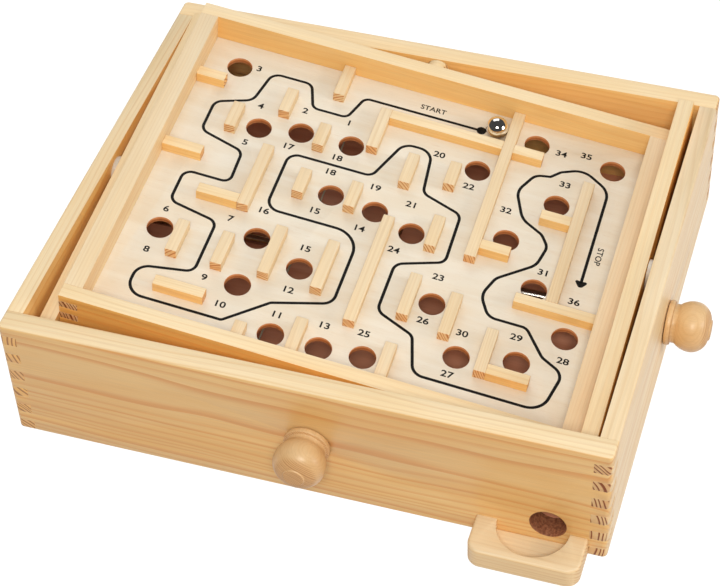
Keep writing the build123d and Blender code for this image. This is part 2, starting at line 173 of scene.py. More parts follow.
def merged(shapes):
    """Several shapes' vertices and faces as one."""
    verts, faces = [], []
    for shape_verts, shape_faces in shapes:
        start = len(verts)
        verts += list(shape_verts)
        faces += [tuple(start + k for k in face) for face in shape_faces]
    return verts, faces


STRANDS = 3
LAY_LENGTH = 3.2 * MM  # along the cord, for one full turn of a strand
STRAND_OFFSET = 0.5  # from the cord's middle, as a share of its radius
STRAND_RADIUS = 0.52


def twisted(path, radius):
    """A laid cord: strands that wind round the path."""
    path = np.asarray(path, float)
    u, v = frames_along(path)
    steps = np.linalg.norm(np.diff(path, axis=0), axis=1)
    travelled = np.concatenate([[0], np.cumsum(steps)])
    strands = []
    for k in range(STRANDS):
        angle = travelled / LAY_LENGTH * 2 * math.pi + k * 2 * math.pi / STRANDS
        outward = np.cos(angle)[:, None] * u + np.sin(angle)[:, None] * v
        strands.append(tube(path + radius * STRAND_OFFSET * outward, radius * STRAND_RADIUS, 6))
    return merged(strands)


def straight(start, end, step=0.35 * MM):
    """Evenly spaced points on the line from start to end."""
    count = max(2, int((end - start).length / step))
    return [start.lerp(end, i / count) for i in range(count + 1)]


def helix(start, end, radius, turns, per_turn):
    """Points winding round the line from start to end."""
    axis = (end - start).normalized()
    side = axis.cross(Vector((0, 0, 1)))
    if side.length < 0.1:
        side = axis.cross(Vector((0, 1, 0)))
    side.normalize()
    other = axis.cross(side)
    count = int(turns * per_turn)
    points = []
    for i in range(count + 1):
        angle = 2 * math.pi * turns * i / count
        outward = math.cos(angle) * side + math.sin(angle) * other
        points.append(start.lerp(end, i / count) + radius * outward)
    return points


# ------------------------------------------------------------- node trees
class Nodes:
    """A short way to write a node tree."""

    def __init__(self, tree):
        self.tree = tree

    def node(self, kind, inputs=None, **settings):
        node = self.tree.nodes.new(kind)
        for key, value in settings.items():
            setattr(node, key, value)
        for key, value in (inputs or {}).items():
            self.feed(node.inputs[key], value)
        return node

    def feed(self, socket, value):
        """Links the socket to another node's output, or sets its own value."""
        if isinstance(value, bpy.types.NodeSocket):
            self.tree.links.new(value, socket)
        else:
            socket.default_value = value

    def math(self, operation, a, b=0.0, clamp=False):
        return self.node("ShaderNodeMath", {0: a, 1: b}, operation=operation, use_clamp=clamp).outputs[0]

    def vector(self, operation, a, b):
        return self.node("ShaderNodeVectorMath", {0: a, 1: b}, operation=operation).outputs[0]

    def split(self, vector):
        return self.node("ShaderNodeSeparateXYZ", {0: vector}).outputs

    def distance(self, a, b):
        """How far the point a, b is from zero."""
        return self.math("SQRT", self.math("ADD", self.math("POWER", a, 2.0), self.math("POWER", b, 2.0)))

    def mix(self, factor, a, b, blend="MIX"):
        node = self.node("ShaderNodeMix", data_type="RGBA", blend_type=blend)
        self.feed(node.inputs[0], factor)
        self.feed(node.inputs[6], a if isinstance(a, bpy.types.NodeSocket) else (*a, 1))
        self.feed(node.inputs[7], b if isinstance(b, bpy.types.NodeSocket) else (*b, 1))
        return node.outputs[2]

    def noise(self, vector, scale, detail=2.0, roughness=0.5, distortion=0.0):
        inputs = {"Vector": vector, "Scale": scale, "Detail": detail, "Roughness": roughness}
        return self.node("ShaderNodeTexNoise", inputs | {"Distortion": distortion}).outputs["Fac"]

    def range(self, value, low, high, to_low=0.0, to_high=1.0, smooth=True):
        """The value's place between low and high, as a number from to_low to to_high."""
        inputs = {"Value": value, "From Min": low, "From Max": high, "To Min": to_low, "To Max": to_high}
        kind = "SMOOTHSTEP" if smooth else "LINEAR"
        return self.node("ShaderNodeMapRange", inputs, interpolation_type=kind).outputs["Result"]


class Material(Nodes):
    """A new material, with its node tree and its shader."""

    def __init__(self, name):
        self.material = bpy.data.materials.new(name)
        self.material.use_nodes = True
        super().__init__(self.material.node_tree)
        self.shader = self.tree.nodes["Principled BSDF"]

    def point(self):
        return self.node("ShaderNodeTexCoord").outputs["Object"]

    def lying_in(self, place):
        """The point, and the way its surface faces, in the frame that place gives."""
        coordinates = self.node("ShaderNodeTexCoord").outputs
        turn = {"Rotation": place.to_euler("XYZ")}
        point = {"Vector": coordinates["Object"], "Location": place.translation} | turn
        facing = {"Vector": coordinates["Normal"]} | turn
        local = self.node("ShaderNodeMapping", point, vector_type="TEXTURE")
        normal = self.node("ShaderNodeMapping", facing, vector_type="TEXTURE")
        return local.outputs[0], normal.outputs[0]

    def surface(self, colour, roughness, relief, depth, strength):
        """Feeds the shader its colour, its roughness and a relief of the given depth."""
        self.feed(self.shader.inputs["Base Color"], colour)
        self.feed(self.shader.inputs["Roughness"], roughness)
        bump = self.node("ShaderNodeBump", {"Height": relief, "Distance": depth, "Strength": strength})
        self.feed(self.shader.inputs["Normal"], bump.outputs["Normal"])


def srgb(r, g, b):
    """A colour given as it looks on screen, 0 to 255, as the linear light that the shader takes."""
    linear = []
    for c in (r, g, b):
        linear.append(c / 255 / 12.92 if c < 10.3 else ((c / 255 + 0.055) / 1.055) ** 2.4)
    return tuple(linear)


# ------------------------------------------------------------- timber colours
# Each palette has early, middle and late wood on sides, on tops (top_) and on cut ends (end_).
# The top_ colours are painted light: tops paler and less saturated than sides, as if lit brighter from
# above.
PINE = {
    "top_early": srgb(241, 222, 188),
    "top_middle": srgb(236, 212, 172),
    "top_late": srgb(222, 188, 136),
    "early": srgb(242, 216, 172),
    "middle": srgb(236, 205, 156),
    "late": srgb(220, 172, 108),
    "end_early": srgb(220, 172, 118),
    "end_late": srgb(134, 66, 22),
}
GOLDEN = {
    "top_early": srgb(248, 227, 187),
    "top_middle": srgb(244, 217, 169),
    "top_late": srgb(230, 192, 134),
    "early": srgb(240, 204, 144),
    "middle": srgb(234, 190, 124),
    "late": srgb(220, 152, 82),
    "end_early": srgb(220, 168, 112),
    "end_late": srgb(134, 66, 22),
}
# AMBER sides are partly the wood's own warmer tone and partly painted warm bounce light, for inner faces and
# faces that sit in shade.
AMBER = GOLDEN | {
    "early": srgb(250, 208, 138),
    "middle": srgb(246, 198, 122),
    "late": srgb(232, 172, 92),
}
# ORANGE sides are painted brighter and more orange than the wood: painted warm bounce light, for the tray's
# front rail in the front wall's shade and the ring's right bar in its gap.
ORANGE = GOLDEN | {
    "early": srgb(255, 206, 120),
    "middle": srgb(254, 192, 102),
    "late": srgb(246, 164, 74),
}
BEECH = {
    "top_early": srgb(228, 195, 148),
    "top_middle": srgb(224, 186, 135),
    "top_late": srgb(208, 162, 108),
    "early": srgb(224, 186, 136),
    "middle": srgb(218, 176, 122),
    "late": srgb(200, 150, 94),
    "end_early": srgb(216, 172, 120),
    "end_late": srgb(192, 142, 90),
}
FAINT_ENDS = {"end_early": srgb(238, 208, 164), "end_late": srgb(224, 184, 134)}
PALE_ENDS = {"end_early": srgb(230, 188, 136), "end_late": srgb(172, 120, 76)}
STRIP_ENDS = {"end_early": srgb(234, 176, 112), "end_late": srgb(196, 124, 64)}
# STRIP_AMBER's amber sides are painted warm shade for strip faces that face the front.
STRIP_PALE = PINE | STRIP_ENDS
STRIP_AMBER = AMBER | STRIP_ENDS
# The exit hole's inner wall, painted dark brown: painted shade inside the bore.
BORE_LIGHT = srgb(176, 116, 84)
BORE_DARK = srgb(128, 78, 54)

# ------------------------------------------------------------- timber
GRAIN_TURN = {
    "X": Matrix.Identity(4),
    "Y": Matrix.Rotation(math.radians(90), 4, "Z"),
    "Z": Matrix.Rotation(math.radians(-90), 4, "Y"),
}
END_FACING = (0.6, 0.85)  # the normal's part along the grain: from a long face to a cut end
TOP_FACING = (0.5, 0.9)  # the normal's upward part: from a side to a top
SEED_STEP = (1, 0.37, 0.73)  # one unit of seed moves the noise by this
RING_DRAW = (0.16, 1, 1)  # the noise is drawn out along the grain
FIBRE_DRAW = (0.02, 1, 1)
RING_WAVER = 11 * MM
RING_WAVER_SCALE = 26
RING_LEAN = 0.012  # the pith leans by this share of the length
RING_UNEVENNESS = 2.2
UNEVENNESS_SCALE = 0.35
LATE_START = (0.40, 0.88)  # the share of a ring's width where late wood comes in
LATE_STOP = (0.99, 0.92)  # and where the next ring cuts it off
END_LATE_START = (0.50, 0.72)
END_LATE_STOP = (0.99, 0.93)
FAINTEST_RING = 0.45
# painted light: on tops the rings are faded, as if washed out by the light from above
TOP_FADE = 0.25  # the rings are this much fainter on tops
PATCH_SCALE = 55
FIBRE_SCALE = 1500
FIBRE_SHADE = (0.93, 1.05)
GLOSS_SPREAD = 0.16
END_DULLNESS = 0.2
VARNISH = {"Coat Weight": 0.08, "Coat Roughness": 0.28}


def wood(name, place, grain, pith, ring, colours=PINE, seed=0.0, contrast=1.0, gloss=0.36, bore=None):
    """Solid timber: growth rings round a pith line that runs along the grain, fibres and dark end grain;
    tops are painted paler, painted light from above.

    place is the frame the piece lies in, grain its length axis there, and pith where the ring centre
    lies, in millimetres across the grain. ring is the mean ring width in millimetres. gloss is the
    roughness of its smoothest fibres. bore is the distance along the grain, height and radius of a
    drilled hole whose inner wall is painted dark brown: painted shade inside the hole.
    """
    n = Material(name)
    local, normal = n.lying_in(place @ GRAIN_TURN[grain])
    along, across, height = n.split(local)
    facing = n.split(normal)
    end = n.range(n.math("ABSOLUTE", facing[0]), *END_FACING)
    upward = n.range(facing[2], *TOP_FACING)

    # rings, counted outward from the pith
    shifted = n.vector("ADD", local, tuple(seed * step for step in SEED_STEP))
    drawn_out = n.vector("MULTIPLY", shifted, RING_DRAW)
    waver = n.math("SUBTRACT", n.noise(drawn_out, RING_WAVER_SCALE, 2.0, 0.45), 0.5)
    sideways = n.math("SUBTRACT", across, pith[0] * MM)
    above = n.math("SUBTRACT", height, pith[1] * MM)
    above = n.math("ADD", above, n.math("MULTIPLY", along, RING_LEAN))
    radius = n.math("ADD", n.distance(sideways, above), n.math("MULTIPLY", waver, RING_WAVER))
    count = n.math("DIVIDE", radius, ring * MM)
    place_in_trunk = n.node("ShaderNodeCombineXYZ", {0: count, 1: seed}).outputs[0]
    uneven = n.noise(place_in_trunk, UNEVENNESS_SCALE, 1.0)
    count = n.math("ADD", count, n.math("MULTIPLY", uneven, RING_UNEVENNESS))
    phase = n.math("FRACT", count)
    ring_number = n.math("FLOOR", count)
    chance = n.node("ShaderNodeTexWhiteNoise", {"W": ring_number}, noise_dimensions="1D").outputs[0]
    strength = n.range(chance, 0, 1, FAINTEST_RING * contrast, contrast, smooth=False)
    late = n.math("MULTIPLY", n.range(phase, *LATE_START), n.range(phase, *LATE_STOP))
    late = n.math("MULTIPLY", late, strength)
    # painted light: the rings fade on tops, as if washed out by the light from above
    late = n.math("MULTIPLY", late, n.math("SUBTRACT", 1.0, n.math("MULTIPLY", upward, TOP_FADE)))

    # the colour of sides, tops and ends; tops take paler colours, painted light from above
    patches = n.range(n.noise(drawn_out, PATCH_SCALE, 3.0, 0.55), 0.3, 0.7)
    side_face = n.mix(late, n.mix(patches, colours["early"], colours["middle"]), colours["late"])
    painted_lit_top = n.mix(late, n.mix(patches, colours["top_early"], colours["top_middle"]), colours["top_late"])
    long_face = n.mix(upward, side_face, painted_lit_top)
    end_face = n.mix(patches, colours["end_early"], colours["middle"])
    end_late = n.math("MULTIPLY", n.range(phase, *END_LATE_START), n.range(phase, *END_LATE_STOP))
    end_face = n.mix(end_late, end_face, colours["end_late"])
    colour = n.mix(end, long_face, end_face)
    fibre = n.noise(n.vector("MULTIPLY", shifted, FIBRE_DRAW), FIBRE_SCALE, 3.0, 0.6)
    grey = n.range(fibre, 0.25, 0.75, *FIBRE_SHADE, smooth=False)
    grey = n.node("ShaderNodeCombineColor", {0: grey, 1: grey, 2: grey}).outputs[0]
    colour = n.mix(1.0, colour, grey, "MULTIPLY")
    if bore:
        bore_along, bore_height, bore_radius = bore
        from_bore = n.distance(
            n.math("SUBTRACT", along, bore_along * MM), n.math("SUBTRACT", height, bore_height * MM)
        )
        inside = n.range(from_bore, (bore_radius + 0.5) * MM, (bore_radius + 0.1) * MM)
        # painted shade: the bore's inner wall is darkened to dark brown, standing in for the shade inside
        # the hole
        painted_bore_shade = n.mix(n.range(n.noise(local, 700, 2.0), 0.3, 0.7), BORE_LIGHT, BORE_DARK)
        colour = n.mix(inside, colour, painted_bore_shade)

    rough = n.range(fibre, 0.2, 0.8, gloss, gloss + GLOSS_SPREAD, smooth=False)
    rough = n.math("ADD", rough, n.math("MULTIPLY", end, END_DULLNESS))
    relief = n.math("ADD", n.math("MULTIPLY", fibre, 0.6), n.math("MULTIPLY", late, 0.5))
    n.surface(colour, rough, relief, 0.05 * MM, 0.5)
    for socket, value in VARNISH.items():
        n.shader.inputs[socket].default_value = value
    return n.material


PLY_LAYER = 4.0 / 3 * MM
PLY_PORES = srgb(196, 150, 104)
FLAME_DRAW = (0.10, 1, 1)
PORE_DRAW = (0.06, 1, 1)


def plywood(name, place, face, cut, flame_scale):
    """Thin birch plywood: a pale fine-grained face, and layered edges where it is cut through.

    face and cut are each a light and a dark colour.
    """
    n = Material(name)
    local, normal = n.lying_in(place)
    edge = n.range(n.math("ABSOLUTE", n.split(normal)[2]), 0.75, 0.5)
    flame = n.noise(n.vector("MULTIPLY", local, FLAME_DRAW), flame_scale, 4.0, 0.55, 0.6)
    pores = n.noise(n.vector("MULTIPLY", local, PORE_DRAW), 2600, 2.0)
    colour = n.mix(n.range(flame, 0.3, 0.72), *face)
    colour = n.mix(n.range(pores, 0.60, 0.78, 0.0, 0.22), colour, PLY_PORES)
    height = n.math("ADD", n.split(local)[2], 1.0)  # a metre up, so that it is above zero
    layer = n.math("FRACT", n.math("DIVIDE", height, 2 * PLY_LAYER))
    cut_colour = n.mix(n.math("GREATER_THAN", layer, 0.5), *cut)
    rough = n.range(flame, 0.3, 0.7, 0.42, 0.52, smooth=False)
    n.surface(n.mix(edge, colour, cut_colour), rough, pores, 0.03 * MM, 0.35)
    return n.material


# ------------------------------------------------------------- steel, nylon, ink and cord
def steel(name, colour, roughness, scale=900, wear=0.12):
    """Bare metal with faint smudges. wear is how much its fine marks change the roughness."""
    n = Material(name)
    point = n.point()
    fine = n.noise(point, scale, 3.0)
    smudge = n.range(n.noise(point, 160, 3.0), 0.35, 0.7)
    n.shader.inputs["Metallic"].default_value = 1.0
    marks = n.math("MULTIPLY", n.math("SUBTRACT", fine, 0.4), wear)
    rough = n.math("ADD", roughness, marks, clamp=True)
    n.surface(n.mix(smudge, colour, tuple(c * 0.86 for c in colour)), rough, fine, 0.01 * MM, 0.3)
    return n.material


def nylon(name):
    """Milky white plastic with faint turning marks and a little grime."""
    n = Material(name)
    cloud = n.noise(n.point(), 420, 3.0)
    colour = n.mix(n.range(cloud, 0.3, 0.75), srgb(226, 221, 212), srgb(204, 196, 184))
    rough = n.range(cloud, 0.3, 0.7, 0.42, 0.55, smooth=False)
    n.surface(colour, rough, cloud, 0.03 * MM, 0.4)
    n.shader.inputs["Subsurface Weight"].default_value = 0.05
    return n.material


def ink(name, colour):
    """Screen-printed ink with slightly uneven cover."""
    n = Material(name)
    patchy = n.noise(n.point(), 1600, 3.0)
    thin = tuple(c * 1.6 for c in colour)
    rough = n.range(patchy, 0.3, 0.7, 0.42, 0.6)
    n.surface(n.mix(n.range(patchy, 0.45, 0.8), colour, thin), rough, patchy, 0.02 * MM, 0.3)
    n.shader.inputs["Specular IOR Level"].default_value = 0.2
    return n.material


def cord_material(name):
    """Off-white twisted yarn."""
    n = Material(name)
    yarn = n.noise(n.point(), 2600, 3.0)
    colour = n.mix(n.range(yarn, 0.3, 0.7), srgb(214, 206, 186), srgb(176, 164, 140))
    n.surface(colour, 0.8, yarn, 0.05 * MM, 0.5)
    n.shader.inputs["Sheen Weight"].default_value = 0.3
    return n.material


# ------------------------------------------------------------- casing
EASED = 0.5 * MM
FINE_EASED = 0.3 * MM
EXIT_BORE = (141.5, 18.7, 10.3)

casing_woods = {
    "case_front": wood(
        "pine_front", LEVEL, "X", (-104, 57), 2.7, GOLDEN | FAINT_ENDS, 1.3, 0.8, bore=EXIT_BORE
    ),
    "case_back": wood("pine_back", LEVEL, "X", (190, 30), 2.6, AMBER, 4.1, 0.4),
    "case_right": wood("pine_right", LEVEL, "Y", (-114, 20), 2.6, PINE, 7.7, 0.6),
    "case_left": wood("pine_left", LEVEL, "Y", (121, 72), 2.6, AMBER | PALE_ENDS, 9.2, 0.7),
    "catch_tray": wood("pine_catch_tray", LEVEL, "X", (-190, -18), 2.2, PINE | FAINT_ENDS, 3.6, 0.4),
}
for node, material in casing_woods.items():
    softened(node, EASED, material, "casing")

inside_wood = wood("pine_inside", LEVEL, "X", (40, -60), 3.2, GOLDEN, 5.9, 0.6)
for node in ("floor_battens", "ball_guide"):
    softened(node, FINE_EASED, inside_wood, "casing")

floor_face = (srgb(240, 172, 140), srgb(218, 144, 112))
floor_cut = (srgb(190, 124, 84), srgb(140, 86, 56))
floor_ply = plywood("ply_floor", LEVEL, floor_face, floor_cut, 102)
softened("ball_floor", FINE_EASED, floor_ply, "casing")

# ------------------------------------------------------------- ring
ring_woods = {
    "ring_right_bar": wood("pine_ring_right", RING, "Y", (-196, -30), 2.6, ORANGE, 11.0, 0.45),
    "ring_left_bar": wood("pine_ring_left", RING, "Y", (110, -40), 2.6, AMBER, 12.5, 0.45),
    "ring_front_bar": wood("pine_ring_front", RING, "X", (-90, 30), 3.3, GOLDEN, 14.0, 0.5),
    "ring_back_bar": wood("pine_ring_back", RING, "X", (90, 20), 3.3, GOLDEN, 15.5, 0.5),
}
for node, material in ring_woods.items():
    softened(node, EASED, material, "ring")

# ------------------------------------------------------------- tray
tray_woods = {
    "tray_front_rail": wood("pine_tray_front", TRAY, "X", (-80, -25), 2.6, ORANGE, 17.0, 0.5),
    "tray_back_rail": wood("pine_tray_back", TRAY, "X", (170, 20), 1.8, AMBER, 18.5, 0.3),
    "tray_right_rail": wood("pine_tray_right", TRAY, "Y", (-100, 24), 2.2, PINE, 20.0, 0.45),
    "tray_left_rail": wood("pine_tray_left", TRAY, "Y", (190, -20), 2.2, PINE, 21.5, 0.45),
}
for node, material in tray_woods.items():
    softened(node, EASED, material, "tray")

board_face = (srgb(237, 230, 215), srgb(231, 219, 198))
board_cut = (srgb(230, 160, 104), srgb(204, 126, 74))
board_ply = plywood("ply_board", TRAY, board_face, board_cut, 90)
softened("maze_board", FINE_EASED, board_ply, "tray")

# Each node's pith lies elsewhere, so that its strips show rings of their own. A node named
# maze_walls_ and so on holds several strips, and two of those have their grain along X.
STRIPS_ALONG_X = ("maze_walls_left_rail", "maze_walls_stubs")
for k, node in enumerate(sorted(name for name in NODES if name.startswith("maze_wall"))):
    low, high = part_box(node)
    one_strip = not node.startswith("maze_walls")
    along_x = node in STRIPS_ALONG_X or (one_strip and (high.x - low.x) > (high.y - low.y))
    grain = "X" if along_x else "Y"
    pith = (30 + (7 * k) % 40, -40 - (5 * k) % 30)
    # Strips along X show long faces toward the front and take amber sides, painted warm shade; strips along
    # Y show pale right faces.
    colours = STRIP_AMBER if along_x else STRIP_PALE
    material = wood("pine_strip_" + str(k), TRAY, grain, pith, 1.9, colours, 30 + 1.7 * k, 0.5)
    softened(node, FINE_EASED, material, "tray")

# ------------------------------------------------------------- print on the board
BOARD_Z = -6.4 * MM  # the board's upper face, in the tray's frame
PRINT_HEIGHT = 0.06 * MM
ROUTE_WIDTH = 1.85 * MM
ROUTE = [  # corners of the printed route: x and y on the board and the corner's radius, in millimetres
    (38.5, 96, 0), (-36.5, 96, 5), (-42.5, 77, 5), (-64.5, 77, 5), (-71, 95.5, 6), (-96.5, 95.5, 7),
    (-101, 70, 8), (-122.5, 61, 7), (-122.5, 36.5, 6), (-93.5, 28.5, 6), (-92.7, 3, 5), (-121, 3, 6),
    (-121, -22, 6), (-89.8, -28, 6), (-89.8, -67, 6), (-121.5, -73.5, 9), (-121.5, -94, 10), (-63.5, -94, 3),
    (-41, -73, 5), (-7.5, -61.5, 8), (-7.5, -8, 15), (-66.3, -8, 8), (-66.3, 37.5, 7), (-14.5, 37.5, 6),
    (-3.2, 69, 9), (14.8, 69, 9), (18.5, 35.5, 6), (44.5, 27, 6), (45.3, -10.5, 6), (18, -21.5, 7),
    (18, -57.5, 7), (42, -67.5, 6), (49.5, -93, 8), (124.5, -93, 12), (130.2, -64.5, 8), (116, -57, 8),
    (102.5, -40, 6), (79.5, -40, 8), (71.5, -26, 12), (76.5, -11.5, 10), (96.5, 6, 12), (99.5, 21.5, 8),
    (94, 29.5, 8), (80, 37, 14), (71.5, 57, 12), (79, 73, 8), (88, 75, 0.5), (93.3, 80.8, 6),
    (106, 87.2, 14), (124.3, 76, 12), (124.7, 2.5, 0),
]
LABELS = [  # a hole's number and the middle of its figures on the board, in millimetres
    ("1", -39.7, 73), ("2", -68, 73), ("3", -105.7, 96), ("4", -94.8, 67), ("5", -94.3, 36),
    ("6", -120.7, -29), ("7", -83, -23), ("8", -121, -61), ("9", -82.7, -69), ("10", -68, -84),
    ("11", -35, -80), ("12", -34.7, -61), ("13", -7.3, -78), ("14", -9.7, -3.7), ("15", -38.5, 0),
    ("15", -34.8, -29), ("16", -66.8, -10.5), ("17", -69, 42), ("18", -38.5, 43.7), ("18", -38.8, 31.7),
    ("19", -9.8, 29.5), ("20", 19.5, 68), ("21", 14.7, 24.3), ("22", 43, 50), ("23", 44.7, -22.5),
    ("24", 14.3, -12), ("25", 15.8, -75.7), ("26", 44.8, -55.5), ("27", 68, -86.7), ("28", 128, -55.7),
    ("29", 98.7, -48.7), ("30", 68.5, -56.5), ("31", 102, 2), ("32", 69, 40), ("33", 98, 71.7),
    ("34", 89.8, 95), ("35", 105, 98.5), ("36", 124, -12.7),
]
FIGURES = {"size": 6.0 * MM, "widening": 1.22, "weight": 0.12 * MM}
WORDS = {"size": 5.2 * MM, "widening": 1.08, "weight": 0.06 * MM}
RIBBON_SECTION = [(-0.5, 0.0), (-0.46, 1.0), (0.46, 1.0), (0.5, 0.0)]  # in widths and heights
DOT_RADIUS = 3.0
ARROW_HALF_WIDTH = 4.6
ARROW_LENGTH = 5.0
ARROW_WING = 1.6
ARROW_NOTCH = 1.0


def rounded_line(corners, steps=10):
    """The points of a line whose corners are rounded with arcs of the given radii."""
    points = [Vector((x * MM, y * MM)) for x, y, radius in corners]
    line = [points[0]]
    for before, corner, after, (_, _, radius) in zip(points, points[1:], points[2:], corners[1:]):
        back = (before - corner).normalized()
        ahead = (after - corner).normalized()
        half = back.angle(ahead) / 2
        room = min((before - corner).length, (after - corner).length) * 0.49
        reach = min(radius * MM / math.tan(half), room)
        real_radius = reach * math.tan(half)
        middle = corner + (back + ahead).normalized() * (real_radius / math.sin(half))
        first = corner + back * reach - middle
        last = corner + ahead * reach - middle
        swing = (math.pi - 2 * half) * (1 if first.cross(last) > 0 else -1)
        for i in range(steps + 1):
            line.append(middle + Matrix.Rotation(swing * i / steps, 2) @ first)
    line.append(points[-1])
    return line


def ribbon(line, width, height):
    """A flat printed line: a low strip with bevelled sides."""
    points = np.array([tuple(p) for p in line])
    ahead = np.gradient(points, axis=0)
    ahead /= np.linalg.norm(ahead, axis=1, keepdims=True)
    side = np.stack([-ahead[:, 1], ahead[:, 0]], axis=1)
    verts = []
    for point, across in zip(points, side):
        for u, v in RIBBON_SECTION:
            flat = point + across * u * width
            verts.append((flat[0], flat[1], v * height))
    count = len(RIBBON_SECTION)
    faces = []
    for i in range(len(points) - 1):
        for k in range(count - 1):
            a = count * i + k
            faces.append((a + 1, a, a + count, a + count + 1))
    return verts, faces


def flat_shape(outline, height):
    """A low printed spot with the given outline, in order round its edge."""
    count = len(outline)
    verts = [(x, y, 0.0) for x, y in outline] + [(x, y, height) for x, y in outline]
    faces = [tuple(range(count, 2 * count))]
    for i in range(count):
        k = (i + 1) % count
        faces.append((i, k, count + k, count + i))
    return verts, faces


def lettering(text, x, y, size, widening, weight, turn=0.0):
    """Vertices and faces of figures or letters, lying on the board with their middle at x, y."""
    curve = bpy.data.curves.new("lettering", "FONT")
    curve.body = text
    curve.size = size
    curve.align_x = "CENTER"
    curve.align_y = "CENTER"
    curve.resolution_u = 4
    curve.offset = weight
    curve.extrude = PRINT_HEIGHT / 2
    holder = linked("lettering", curve)
    bpy.context.view_layer.update()
    mesh = bpy.data.meshes.new_from_object(holder.evaluated_get(bpy.context.evaluated_depsgraph_get()))
    bpy.data.objects.remove(holder)
    wider = Matrix.Diagonal((widening, 1, 1, 1))
    place = Matrix.Translation((x * MM, y * MM, PRINT_HEIGHT / 2)) @ Matrix.Rotation(turn, 4, "Z") @ wider
    verts = [tuple(place @ v.co) for v in mesh.vertices]
    faces = [tuple(p.vertices) for p in mesh.polygons]
    bpy.data.meshes.remove(mesh)
    return verts, faces


def printed(name, shapes, material):
    """One piece of print: flat shapes laid on the board's upper face."""
    verts, faces = merged(shapes)
    base = TRAY @ Matrix.Translation((0, 0, BOARD_Z))
    obj = new_object(name, [base @ Vector(v) for v in verts], faces)
    obj.data.materials.append(material)
    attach(obj, "tray")


def circle(x, y, radius, count=32):
    """The outline of a round spot on the board, sized in millimetres."""
    angles = [2 * math.pi * k / count for k in range(count)]
    return [((x + radius * math.cos(t)) * MM, (y + radius * math.sin(t)) * MM) for t in angles]


def arrow_head(x, y):
    """The outline of the arrow at the route's end, which points along -Y."""
    outline = rounded_line(
        [
            (x, y + ARROW_NOTCH, 0),
            (x + ARROW_HALF_WIDTH, y + ARROW_WING, 1.0),
            (x, y - ARROW_LENGTH, 2.0),
            (x - ARROW_HALF_WIDTH, y + ARROW_WING, 1.0),
            (x, y + ARROW_NOTCH, 0),
        ]
    )
    return [tuple(p) for p in outline[:-1]][::-1]


black_ink = ink("printing_ink", srgb(20, 19, 18))
start_x, start_y, _ = ROUTE[0]
tip_x, tip_y, _ = ROUTE[-1]
route_shapes = [
    ribbon(rounded_line(ROUTE), ROUTE_WIDTH, PRINT_HEIGHT),
    flat_shape(circle(start_x, start_y, DOT_RADIUS), PRINT_HEIGHT),
    flat_shape(arrow_head(tip_x, tip_y), PRINT_HEIGHT),
]
printed("printed_route", route_shapes, black_ink)
figures = [lettering(text, x, y, **FIGURES) for text, x, y in LABELS]
figures.append(lettering("START", 6, 102, **WORDS))
figures.append(lettering("STOP", 130, 25, turn=math.radians(-90), **WORDS))
printed("printed_figures", figures, black_ink)

# ------------------------------------------------------------- ball
ball_low, ball_high = [Vector(corner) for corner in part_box("ball")]
ball_mesh = bpy.data.meshes.new("polished_ball")
bm = bmesh.new()
bmesh.ops.create_icosphere(bm, subdivisions=5, radius=(ball_high.x - ball_low.x) / 2)
bm.transform(Matrix.Translation((ball_low + ball_high) / 2))
bm.to_mesh(ball_mesh)
bm.free()
shade(ball_mesh)
ball = linked("polished_ball", ball_mesh)
ball_mesh.materials.append(steel("steel_ball", (0.90, 0.87, 0.83), 0.03, scale=500, wear=0.05))
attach(ball, "ball")
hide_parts("ball")

# ------------------------------------------------------------- knobs, turned on a lathe
FLANGE_RADIUS = 13.4
FLANGE_THICKNESS = 3.2
FLANGE_EASE = 0.5
NECK_RADIUS = 11.6
NECK_START = 3.7
NECK_EASE = (0.2, 0.3)  # the cove under the flange: wider and lower than the neck by these
BULB_START = 6.0
BULB_RADIUS = 15.0
BULB_MIDDLE = 15.0
BULB_STEPS = 14
TIP_RADIUS = 6.2
TIP_EASE = 0.8
RIM_STEPS = 8
TIP_STEPS = 5


def bulb(radius, height):
    """Points of the knob's swelling from its widest place to the given radius and height."""
    inset = BULB_RADIUS - radius
    offset = height - BULB_MIDDLE
    sweep = (inset * inset + offset * offset) / (2 * inset)
    whole = math.atan2(abs(offset), sweep - inset)
    side = 1 if offset > 0 else -1
    points = []
    for i in range(BULB_STEPS + 1):
        angle = whole * i / BULB_STEPS
        across = BULB_RADIUS - sweep * (1 - math.cos(angle))
        points.append((across, BULB_MIDDLE + side * sweep * math.sin(angle)))
    return points


def knob_profile(length):
    """Radius and height of a knob's outline, from the middle of its foot to the middle of its tip."""
    flat = FLANGE_RADIUS - FLANGE_EASE
    profile = [(0.0, 0.0), (flat, 0.0)]
    for i in range(RIM_STEPS + 1):
        angle = math.pi * (i / RIM_STEPS - 0.5)
        rim = flat + FLANGE_EASE * math.cos(angle)
        profile.append((rim, FLANGE_THICKNESS / 2 * (1 + math.sin(angle))))
    wider, lower = NECK_EASE
    profile += [(NECK_RADIUS + wider, NECK_START - lower), (NECK_RADIUS, NECK_START)]
    profile += bulb(NECK_RADIUS, BULB_START)[::-1]
    profile += bulb(TIP_RADIUS, length - TIP_EASE)[1:]
    for i in range(1, TIP_STEPS + 1):
        angle = math.pi / 2 * i / TIP_STEPS
        across = TIP_RADIUS - TIP_EASE * (1 - math.cos(angle))
        profile.append((across, length - TIP_EASE * (1 - math.sin(angle))))
    profile.append((0.0, length))
    return profile


def lathe(profile, around=96):
    """Vertices and faces of a turned shape whose axis is Z. The profile starts and ends on the axis."""
    rim = profile[1:-1]
    verts = [(0, 0, profile[0][1] * MM), (0, 0, profile[-1][1] * MM)]
    for radius, height in rim:
        for k in range(around):
            angle = 2 * math.pi * k / around
            verts.append((radius * MM * math.cos(angle), radius * MM * math.sin(angle), height * MM))
    faces = []
    last = 2 + (len(rim) - 1) * around
    for k in range(around):
        n = (k + 1) % around
        faces.append((0, 2 + n, 2 + k))
        faces.append((1, last + k, last + n))
        for i in range(len(rim) - 1):
            a = 2 + i * around
            faces.append((a + k, a + n, a + around + n, a + around + k))
    return verts, faces


